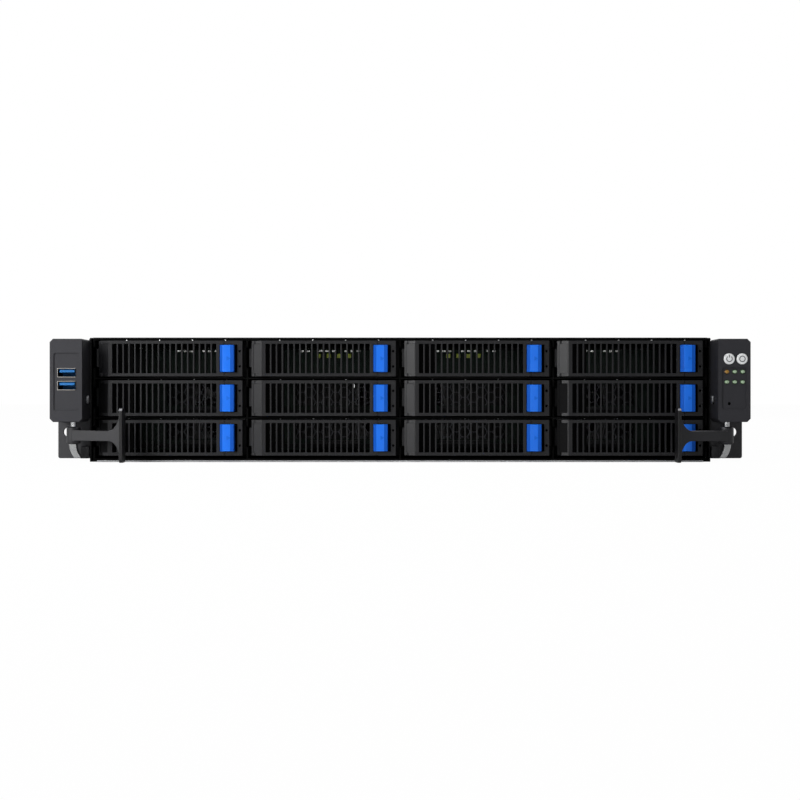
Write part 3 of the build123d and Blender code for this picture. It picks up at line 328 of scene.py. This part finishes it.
def solder_mask(name, code):
    """Green lacquer over copper: slightly lighter where a trace runs under it."""
    made = coat(name, code, 0.6, 0.5, 0.1, 0.1)
    tree = made.node_tree
    place = tree.nodes["Texture Coordinate"]
    tint = tree.nodes["tint"]
    traces = add(tree, "ShaderNodeTexVoronoi",
                 {"feature": "DISTANCE_TO_EDGE", "distance": "EUCLIDEAN", "Scale": 1000 / TRACE_PITCH / 2},
                 {"Vector": place.outputs["Object"]})
    lines = add(tree, "ShaderNodeMapRange",
                {"From Min": 0.03, "From Max": 0.09, "To Min": 1.0, "To Max": 0.0},
                {"Value": traces.outputs["Distance"]})
    tint.inputs["Color2"].default_value = [c * 2.2 for c in colour(code)[:3]] + [1.0]
    tree.links.new(lines.outputs["Result"], tint.inputs["Fac"])
    return made


# dull black blocks on a board so dark that the green only just shows
black_nylon = coat("black_nylon_connector", "#08080A", 0.6, 0.4, 0.1, 0.15)
board_lacquer = solder_mask("green_solder_mask", "#030C07")
board_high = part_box("backplane")[1]
BOARD = 0.0016
board_front = board_high.y - BOARD
HAIR = 0.0001  # a face further ahead of the board than this belongs to a connector
finished("backplane", [board_lacquer, black_nylon], 0.15,
         lambda face: int(face.calc_center_median().y < board_front - HAIR))
bay_half = (bay_mids[1] - bay_mids[0]) / 2
CHIP_PITCH = 0.0052
CHIP_SPAN = (0.026, 0.086)  # from the bay's left wall
CHIP_SIZE = (0.0026, 0.0016, 0.0014)
CHIP_DROP = 0.0012  # from the board's top edge to the chips' middle
CHIP_EDGE = 0.0002
COIL_PITCH = 0.0084
COIL_SPAN = (0.040, 0.074)
COIL_SIZE = (0.0034, 0.0024, 0.0034)
COIL_DROP = 0.0052


def chip(bm, x, z, size):
    """One small part soldered on the front of the backplane."""
    wide, deep, tall = size
    place = Matrix.Translation((x, board_front - deep / 2, z)) @ Matrix.Diagonal((wide, deep, tall, 1))
    made = bmesh.ops.create_cube(bm, size=1.0, matrix=place)
    edges = {edge for vert in made["verts"] for edge in vert.link_edges}
    bmesh.ops.bevel(bm, geom=list(edges), offset=CHIP_EDGE, offset_type="OFFSET", affect="EDGES",
                    segments=1, profile=0.5, material=-1, clamp_overlap=True)


for name, code, pitch, span, size, drop, gaps in (
    ("white_chip_parts", "#F2F2F0", CHIP_PITCH, CHIP_SPAN, CHIP_SIZE, CHIP_DROP, 4),
    ("yellow_green_coils", "#76821E", COIL_PITCH, COIL_SPAN, COIL_SIZE, COIL_DROP, 3),
):
    bm = bmesh.new()
    for column, middle in enumerate(bay_mids):
        count = int((span[1] - span[0]) / pitch)
        for n in range(count):
            # every few places are left unfitted, a different one in each bay
            if (n * 3 + column * 2) % gaps:
                chip(bm, middle - bay_half + span[0] + n * pitch, board_high.z - drop, size)
    put(name, bm, [coat(name, code, 0.3, 0.3, 0.02)], "server")

# Mesh wall: black zinc sheet punched with hexagons, seen through the lower rows of trays.
# The frame's sheet has 14 mm holes, to keep its faces few, so the finer sheet is made here whole.
HEX_PITCH = 0.0084
HEX_WEB = 0.0009
MESH_SHEET = 0.001
mesh_low, mesh_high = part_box("mesh_wall")
# grey webs that catch a little light in the dark
dark_zinc = metal("black_zinc_sheet", "#3C3D40", 0.5, 0.6, 0.2)
bm = bmesh.new()
cell_r = HEX_PITCH / 2 / cos(pi / 6)
bmesh.ops.create_circle(bm, cap_ends=True, segments=6, radius=cell_r,
                        matrix=Matrix.Translation((0, mesh_low.y, 0)) @ Matrix.Rotation(pi / 2, 4, "X")
                        @ Matrix.Rotation(pi / 6, 4, "Z"))
bmesh.ops.inset_individual(bm, faces=bm.faces[:], thickness=HEX_WEB / 2)
inner = min(bm.faces, key=lambda face: (face.calc_center_median().xz.length, -face.calc_area()))
bmesh.ops.delete(bm, geom=[inner], context="FACES_ONLY")
walls = bmesh.ops.extrude_face_region(bm, geom=bm.faces[:])
bmesh.ops.translate(bm, verts=[v for v in walls["geom"] if isinstance(v, bmesh.types.BMVert)],
                    vec=(0, MESH_SHEET, 0))
cell = bm.verts[:] + bm.edges[:] + bm.faces[:]
column_pitch = HEX_PITCH * cos(pi / 6)
columns = int((mesh_high.x - mesh_low.x) / column_pitch) - 1
rows = int((mesh_high.z - mesh_low.z) / HEX_PITCH) - 1
for across in range(columns):
    for up in range(rows):
        copy = bmesh.ops.duplicate(bm, geom=cell)
        moved = [v for v in copy["geom"] if isinstance(v, bmesh.types.BMVert)]
        x = (across - (columns - 1) / 2) * column_pitch
        stagger = 0.25 if across % 2 else -0.25
        z = (mesh_low.z + mesh_high.z) / 2 + (up - (rows - 1) / 2 + stagger) * HEX_PITCH
        bmesh.ops.translate(bm, verts=moved, vec=(x, 0, z))
bmesh.ops.delete(bm, geom=[v for v in cell if isinstance(v, bmesh.types.BMVert)], context="VERTS")
bmesh.ops.remove_doubles(bm, verts=bm.verts, dist=1e-6)
bmesh.ops.recalc_face_normals(bm, faces=bm.faces)
rim_low = (mesh_high.z - mesh_low.z - rows * HEX_PITCH) / 2 + HEX_PITCH / 4
for low, high in (
    ((mesh_low.x, mesh_low.z), (mesh_high.x, mesh_low.z + rim_low)),
    ((mesh_low.x, mesh_high.z - rim_low), (mesh_high.x, mesh_high.z)),
):
    size = (high[0] - low[0], MESH_SHEET, high[1] - low[1])
    place = Matrix.Translation(((low[0] + high[0]) / 2, mesh_low.y + MESH_SHEET / 2, (low[1] + high[1]) / 2))
    bmesh.ops.create_cube(bm, size=1.0, matrix=place @ Matrix.Diagonal((*size, 1)))
put("mesh_sheet", bm, [dark_zinc], "server", ("mesh_wall",))

# Main board with its memory sockets, modules and rear sockets, and the two heat sinks.
# The board and modules are lacquered glass epoxy, the sockets nylon or nickel-plated shells.
# light grey metal, the brightest thing on the board
nickel = metal("nickel_plated_shell", "#C6C8CB", 0.24, 0.5, 0.05)
main_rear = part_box("main_board")[1].y
module_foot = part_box("memory_modules")[0].z
SOCKET_DEPTH = 0.017
SOCKET_SUNK = 0.0059  # how far below the modules' lower edge their sockets begin


def board_kind(face):
    """0 the board, 1 the memory sockets, 2 the metal shells at the rear edge."""
    middle = face.calc_center_median()
    if middle.z < module_foot - SOCKET_SUNK:
        return 0
    return 2 if middle.y > main_rear - SOCKET_DEPTH else 1


finished("main_board", [board_lacquer, black_nylon, nickel], 0.15, board_kind)
finished("memory_modules", [board_lacquer], 0.1)
# dull silver
sink_metal = metal("extruded_aluminium", "#A4A6A8", 0.5, 0.5, 0.1)
frame["nodes"]["heat_sinks"].data.materials.clear()
frame["nodes"]["heat_sinks"].data.materials.append(sink_metal)

# Fans: glass-filled black frames with a motor plate, and a seven-bladed rotor in each.
# Both are injection moulded, the rotor a little glossier than the frame.
# matt frames against slightly shiny blades
frame_plastic = coat("glass_filled_black_pbt", "#101010", 0.5, 0.5, 0.2)
rotor_plastic = coat("moulded_black_rotor", "#1A1A1B", 0.35, 0.5, 0.05)
finished("fan_frames", [frame_plastic], 0.3)
for number in (1, 2, 3):
    finished(f"fan_rotor_{number}", [rotor_plastic], 0.2)

# Fan baffles: black coated sheet that closes the gaps between the fans and beside them.
# They are guessed, since the photo hides them: without them air would run back past the fans.
frames_low, frames_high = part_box("fan_frames")
tub_low, tub_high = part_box("mesh_wall")
fan_half = (frames_high.z - frames_low.z) / 2
BAFFLE_SHEET = 0.001
BAFFLE_GAP = 0.0005
BAFFLE_IN = 0.002  # behind the frames' front faces
fan_mids = sorted(sum(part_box(f"fan_rotor_{number}"), Vector()).x / 2 for number in (1, 2, 3))
gap_starts = [tub_low.x] + [x + fan_half for x in fan_mids]
gap_ends = [x - fan_half for x in fan_mids] + [tub_high.x]
bm = bmesh.new()
for start, end in zip(gap_starts, gap_ends):
    size = (end - start - 2 * BAFFLE_GAP, BAFFLE_SHEET, 2 * fan_half)
    place = Matrix.Translation(((start + end) / 2, frames_low.y + BAFFLE_IN, frames_low.z + fan_half))
    bmesh.ops.create_cube(bm, size=1.0, matrix=place @ Matrix.Diagonal((*size, 1)))
put("fan_baffles", bm, [powder_coat], "server")

# Power supplies: zinc-plated steel cases that slide in from the rear, with a black wire grip.
# The mains inlet is a plain recess in the case; the vents are slots behind the grip.
# cool mid grey with blurred reflections
zinc = metal("zinc_plated_case", "#9A9C9F", 0.38, 0.6, 0.15)
wire_lacquer = coat("black_lacquered_wire", "#0C0C0D", 0.3, 0.5, 0.05)
GRIP_DEPTH = 0.0215  # the grip stands 22 mm out of the case; its last 21.5 mm are wire alone
for where in ("lower", "upper"):
    grip_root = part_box(f"power_supply_{where}")[1].y - GRIP_DEPTH
    finished(f"power_supply_{where}", [zinc, wire_lacquer], 0.25,
             lambda face: int(face.calc_center_median().y > grip_root))

# Rear panel: a flat galvanised sheet with a dull spangle, punched for vents, sockets and cards.
# A thin shield fills its socket opening, and blank covers close the card slots from inside.
SPANGLE = 9.0  # mm across one zinc crystal


def galvanised(name, code):
    """Zinc-dipped sheet: crystals a few millimetres wide that differ a little in grey."""
    made = metal(name, code, 0.4, 0.6, 0.15)
    tree = made.node_tree
    place = tree.nodes["Texture Coordinate"]
    tint = tree.nodes["tint"]
    crystals = add(tree, "ShaderNodeTexVoronoi", {"Scale": 1000 / SPANGLE},
                   {"Vector": place.outputs["Object"]})
    grey = add(tree, "ShaderNodeSeparateColor", links={0: crystals.outputs["Color"]})
    tree.links.new(grey.outputs[0], tint.inputs["Fac"])
    return made


spangled = galvanised("galvanised_sheet", "#8E9093")
finished("rear_panel", [spangled], 0.15)

# Trays: carrier, lever and latch of each. Bezels and levers are moulded in black PC-ABS with a
# fine spark-eroded grain, and what lies behind the bezels is coloured near black as painted shade.
# The latch is glossier blue ABS with a raised triangle on its face.
TRAY_GRAIN = 0.45
# charcoal fronts with a fine grain, their insides coloured near black as painted shade
tray_plastic = coat("moulded_black_pc_abs", "#1A1A1C", 0.4, TRAY_GRAIN, 0.2, 0.3)
# strong blue, its flanks coloured darker as painted shade, with a mark that only just shows
blue = coat("moulded_blue_abs", "#0A6CE2", 0.34, TRAY_GRAIN, 0.08, 0.35)
tray_inside_painted_shade = coat("matt_tray_inside_painted_shade", "#070708", 0.7, TRAY_GRAIN, 0.2, 0.1)
blue_flank_painted_shade = coat("blue_abs_flank_painted_shade", "#0A4FB0", 0.6, TRAY_GRAIN, 0.1, 0.15)
blue_mark = coat("blue_abs_mark", "#0A63D2", 0.5, TRAY_GRAIN, 0.08, 0.25)
BEZEL_DEPTH = 0.0022
LATCH_STRIP = 0.0025
ARROW_R = 0.0020
ARROW_PROUD = 0.00012
ARROW_ASIDE = 0.0008  # to the right of the latch's middle
for row in (1, 2, 3):
    for column in (1, 2, 3, 4):
        label = f"row{row}_col{column}"
        # faces further back than the bezel take the painted shade
        finished(f"carrier_{label}", [tray_plastic, tray_inside_painted_shade], 0.2,
                 lambda face: int(face.calc_center_median().y > tray_front + BEZEL_DEPTH))
        if f"lever_{label}" in frame["nodes"]:
            finished(f"lever_{label}", [tray_plastic], 0.2)
        low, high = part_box(f"latch_{label}")
        seam = high.x - LATCH_STRIP
        # the left facet and the strip right of the seam take the painted shade
        finished(f"latch_{label}", [blue, blue_flank_painted_shade], 0.35,
                 lambda face: int(face.normal.x < -0.35 or face.calc_center_median().x > seam), cut=seam)
        bm = bmesh.new()
        bmesh.ops.create_cone(
            bm, cap_ends=True, segments=3, radius1=ARROW_R, radius2=ARROW_R * 0.9, depth=2 * ARROW_PROUD,
            matrix=Matrix.Translation(((low.x + high.x) / 2 + ARROW_ASIDE, low.y, (low.z + high.z) / 2))
            @ Matrix.Rotation(pi / 2, 4, "X") @ Matrix.Rotation(-pi / 2, 4, "Z"))
        put(f"latch_arrow_{label}", bm, [blue_mark], f"latch_{label}")

# Rack brackets: 2 mm black coated steel flanges with a slot for the rack screw.
# Each is screwed to the chassis side through its foot.
# satin, a little lighter than the chassis
bracket_coat = coat("satin_black_bracket", "#2A2A2D", 0.5, PEEL_GRAIN, 0.3, 0.4)
finished("rack_brackets", [bracket_coat], 0.3)

# Ear covers: dark grey ABS mouldings with a fine matt grain, clipped over the flanges.
# The left one holds two USB sockets, the right one the buttons and status lights.
# cool dark grey, matt; the inner flanks beside the trays are coloured darker as painted shade
ear_plastic = coat("moulded_dark_grey_abs", "#2B2B2F", 0.55, 0.5, 0.3, 0.25)
ear_flank_painted_shade = coat("dark_grey_abs_flank_painted_shade", "#1A1A1D", 0.7, 0.5, 0.3, 0.1)
FLANK_NEAR = 0.002  # a sideways face this near to the inner edge belongs to the flank


def ear_kind(face, inner):
    """0 the cover, 1 its flank beside the trays, coloured darker as painted shade."""
    return int(abs(face.normal.x) > 0.7 and abs(face.calc_center_median().x - inner) < FLANK_NEAR)


for side in ("left", "right"):
    low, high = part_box(f"ear_cover_{side}")
    inner = high.x if side == "left" else low.x
    finished(f"ear_cover_{side}", [ear_plastic, ear_flank_painted_shade], 0.25,
             lambda face: ear_kind(face, inner))
usb_low, usb_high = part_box("usb_sockets")
usb_mid = (usb_low.z + usb_high.z) / 2
USB_PITCH = 0.0088
USB_SHELL = 0.0005
USB_RIM = 0.0006  # depth of the shell's bright band in front
USB_BACK = 0.0005  # and behind
USB_LINING = USB_SHELL * 1.8  # from the shell's outside to the room for the tongue
usb_half_x = (usb_high.x - usb_low.x) / 2
usb_half_z = (usb_high.z - usb_low.z - USB_PITCH) / 2
usb_seam = usb_high.x - USB_SHELL * 1.5  # right of it the shell is coloured dark as painted shade


def usb_kind(face):
    """0 the metal shell, 1 the blue tongue inside it, 2 the shell's inside and right side, coloured dark as
    painted shade.
    """
    middle = face.calc_center_median()
    if middle.x > usb_seam:
        return 2
    x = abs(middle.x - (usb_low.x + usb_high.x) / 2)
    z = abs(abs(middle.z - usb_mid) - USB_PITCH / 2)
    if middle.y < usb_low.y + USB_RIM or middle.y > usb_high.y - USB_BACK:
        return 0
    inside = x < usb_half_x - USB_LINING and z < usb_half_z - USB_LINING
    return 1 if inside else 2


# a blue bar in a hole coloured dark as painted shade, with a thin warm metal rim
blue_nylon = coat("blue_nylon_tongue", "#1766A8", 0.45, 0.3, 0.05, 0.3)
shell_painted_shade = metal("usb_shell_painted_shade", "#2A2B2E", 0.5, 0.4, 0.05)
usb_shell = metal("dull_nickel_shell", "#8F8C88", 0.35, 0.4, 0.05)
finished("usb_sockets", [usb_shell, blue_nylon, shell_painted_shade], 0.1, usb_kind, cut=usb_seam)

# Status lights: six oval lenses, one amber and five pale green, on a small board.
# They are moulded light pipes, slightly milky, each a shallow dome.
LENS_HALF_X = 0.0018
LENS_HALF_Z = 0.0014
LENS_DOME = 0.0007
# unlit lenses: milky in the middle, with painted shade on the rim where the dome turns away
amber = coat("amber_light_pipe", "#A0762C", 0.25, 0.4, 0.02)
pale_green = coat("pale_green_light_pipe", "#A2B89C", 0.25, 0.4, 0.02)
amber_shade_rim = coat("amber_light_pipe_painted_shade_rim", "#5E4420", 0.4, 0.4, 0.02)
green_shade_rim = coat("green_light_pipe_painted_shade_rim", "#3E5A38", 0.4, 0.4, 0.02)
RIM_FROM = 0.45  # share of the lens's squared radius where the clear middle ends
lights_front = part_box("status_lights")[0].y
finished("status_lights", [board_lacquer], 0.1)
ear_low, ear_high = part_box("ear_cover_right")
LENS_PITCH_X = 0.00545
LENS_PITCH_Z = 0.0071
LENS_FIRST_X = ear_low.x + 0.0065
LENS_TOP_Z = ear_high.z - 0.0227
for across in range(3):
    for down in range(2):
        bm = bmesh.new()
        spot = (LENS_FIRST_X + across * LENS_PITCH_X, lights_front, LENS_TOP_Z - down * LENS_PITCH_Z)
        place = Matrix.Translation(spot)
        bmesh.ops.create_uvsphere(bm, u_segments=24, v_segments=12, radius=1.0,
                                  matrix=place @ Matrix.Diagonal((LENS_HALF_X, LENS_DOME, LENS_HALF_Z, 1)))
        # faces out towards the rim take the painted shade
        for face in bm.faces:
            out = face.calc_center_median() - place.translation
            face.material_index = int((out.x / LENS_HALF_X) ** 2 + (out.z / LENS_HALF_Z) ** 2 > RIM_FROM)
        tones = [amber, amber_shade_rim] if across == 0 and down == 0 else [pale_green, green_shade_rim]
        put(f"lens_{across + 1}_{down + 1}", bm, tones, "server", angle=60)

# Buttons: glossy white caps, the left with a power sign, the right with a plain ring.
# The signs are pad printed in grey, a few hundredths of a millimetre thick.
# clean white with a soft highlight, and a thin dark grey sign
white_cap = coat("white_button_abs", "#E6E7E8", 0.3, 0.5, 0.02)
grey_print = coat("grey_pad_print", "#4A4C4F", 0.5, 0.3, 0.0)
PRINT_THICK = 0.00006
SIGN_R = 0.0019
SIGN_LINE = 0.00055


def printed_arc(bm, x, y, z, start, turn):
    """A thin printed arc on a cap's face, in radians from the right."""
    place = (Matrix.Translation((x, y, z)) @ Matrix.Rotation(-start, 4, "Y")
             @ Matrix.Translation((SIGN_R, 0, 0)) @ Matrix.Diagonal((SIGN_LINE, 2 * PRINT_THICK, 1, 1)))
    bmesh.ops.create_grid(bm, x_segments=1, y_segments=1, size=0.5, matrix=place)
    bmesh.ops.spin(bm, geom=bm.verts[:] + bm.edges[:] + bm.faces[:], cent=(x, y, z), axis=(0, -1, 0),
                   angle=turn, steps=36, use_merge=abs(turn - 2 * pi) < 0.01, use_duplicate=False)


for node, turn in (("power_button", 1.6 * pi), ("marker_button", 2 * pi)):
    finished(node, [white_cap], 0.3, segments=3)
    low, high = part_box(node)
    middle = (low + high) / 2
    bm = bmesh.new()
    printed_arc(bm, middle.x, low.y, middle.z, pi / 2 + (2 * pi - turn) / 2, turn)
    if node == "power_button":
        stroke = (Matrix.Translation((middle.x, low.y, middle.z + SIGN_R))
                  @ Matrix.Diagonal((SIGN_LINE, 2 * PRINT_THICK, SIGN_R, 1)))
        bmesh.ops.create_cube(bm, size=1.0, matrix=stroke)
    put(f"{node}_print", bm, [grey_print], node)

# Handles: die-cast arms with a satin black coat, swung on steel pins, each with a steel hook.
# Hooks and pins are nickel plated and polished.
# soft dark grey arm, a smoother grip coloured darker as painted shade, and a thin bright line painted along
# the upper front edges as a highlight
cast = coat("satin_black_casting", "#1F1F22", 0.48, 0.6, 0.15, 0.35)
# bright metal that mirrors the studio in bands
plated = metal("polished_nickel_plate", "#AEAFB0", 0.2, 0.5, 0.04)
grip_painted_shade = coat("smooth_black_grip_painted_shade", "#0D0D0F", 0.4, 0.6, 0.15, 0.4)
edge_painted_highlight = metal("casting_edge_painted_highlight", "#77777A", 0.4, 0.4, 0.05)
GRIP_THICK = 0.0024


def handle_kind(face, seam, inward):
    """0 the casting, 1 the grip, coloured darker as painted shade, 2 the upper front edges, coloured bright
    as a painted highlight.
    """
    if face.normal.z > 0.3 and face.normal.y < -0.3:
        return 2
    return int((face.calc_center_median().x - seam) * inward > 0)


for side, inward in (("left", 1), ("right", -1)):
    low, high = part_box(f"handle_{side}")
    seam = (high.x if side == "left" else low.x) - inward * GRIP_THICK
    finished(f"handle_{side}", [cast, grip_painted_shade, edge_painted_highlight], 0.35,
             lambda face: handle_kind(face, seam, inward), segments=3, cut=seam, clamp=False)
    finished(f"hook_{side}", [plated], 0.4, segments=3)
finished("handle_pins", [plated], 0.2)
# duller than the pins, seen as small grey dots
screw_steel = metal("zinc_plated_screw", "#7C7D80", 0.4, 0.5, 0.04)
finished("screws_and_studs", [screw_steel], 0.5, segments=3)

# Top cover: a flat sliding sheet of 1 mm steel with two round thumb pads sunk into it.
# It has the chassis's black powder coat.
finished("top_cover", [powder_coat], 0.3)

low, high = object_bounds()
